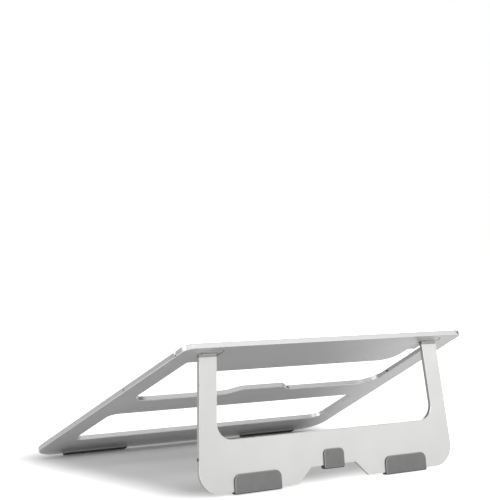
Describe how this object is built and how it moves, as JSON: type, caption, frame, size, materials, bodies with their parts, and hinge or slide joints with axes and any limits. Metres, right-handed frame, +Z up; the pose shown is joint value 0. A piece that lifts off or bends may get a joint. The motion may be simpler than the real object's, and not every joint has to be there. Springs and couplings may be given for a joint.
{
  "type": "laptop stand",
  "caption": "Folding aluminium laptop stand: a tilted, tapered deck plate with open windows, held up by a hinged U-shaped leg that folds flat into the plate.",
  "frame": {"origin": "centre of the bounding box on the floor plane", "axes": "+Z up, the front edge with the laptop stops toward -Y, the hinged leg toward +Y, +X across the stand to the right of a user who faces +Y"},
  "size_m": [0.2938, 0.24, 0.11],
  "materials": {
    "silver_aluminium": "bead-blasted and anodised, fine bright chamfered edges",
    "grey_silicone": "matt, moulded",
    "dark_silicone": "matt, moulded",
    "stainless_steel": "machined",
    "polished_steel": "polished",
    "bush_polymer": "moulded"
  },
  "bodies": {
    "deck": {"deck_plate": "silver_aluminium", "detent_spring_left": "stainless_steel", "detent_spring_right": "stainless_steel", "front_foot_left": "dark_silicone", "front_foot_right": "dark_silicone", "grub_screws": "stainless_steel", "hinge_bush_left": "bush_polymer", "hinge_bush_right": "bush_polymer", "hinge_leaf_left": "silver_aluminium", "hinge_leaf_right": "silver_aluminium", "laptop_stop_left": "silver_aluminium", "laptop_stop_right": "silver_aluminium", "leaf_screws": "stainless_steel", "rear_grip_pad_left": "grey_silicone", "rear_grip_pad_right": "grey_silicone", "stop_pad_left": "grey_silicone", "stop_pad_right": "grey_silicone", "stop_screws": "stainless_steel"},
    "leg": {"support_leg": "silver_aluminium", "foot_pad_left": "grey_silicone", "foot_pad_right": "grey_silicone", "leg_centre_pad": "grey_silicone", "hinge_pin_left": "stainless_steel", "hinge_pin_right": "stainless_steel"},
    "ball_left": {"detent_ball_left": "polished_steel"},
    "ball_right": {"detent_ball_right": "polished_steel"}
  },
  "joints": [
    {"name": "leg_fold", "type": "hinge", "parent": "deck", "child": "leg", "pos_m": [0, 0.10402, 0.10109], "axis": [-1, 0, 0], "range_deg": [0, 73]},
    {"name": "ball_left_slide", "type": "slide", "parent": "deck", "child": "ball_left", "axis": [-1, 0, 0], "range_m": [0, 0.00055], "stiffness_N_per_m": 800, "springref_m": -0.0005},
    {"name": "ball_right_slide", "type": "slide", "parent": "deck", "child": "ball_right", "axis": [1, 0, 0], "range_m": [0, 0.00055], "stiffness_N_per_m": 800, "springref_m": -0.0005}
  ]
}
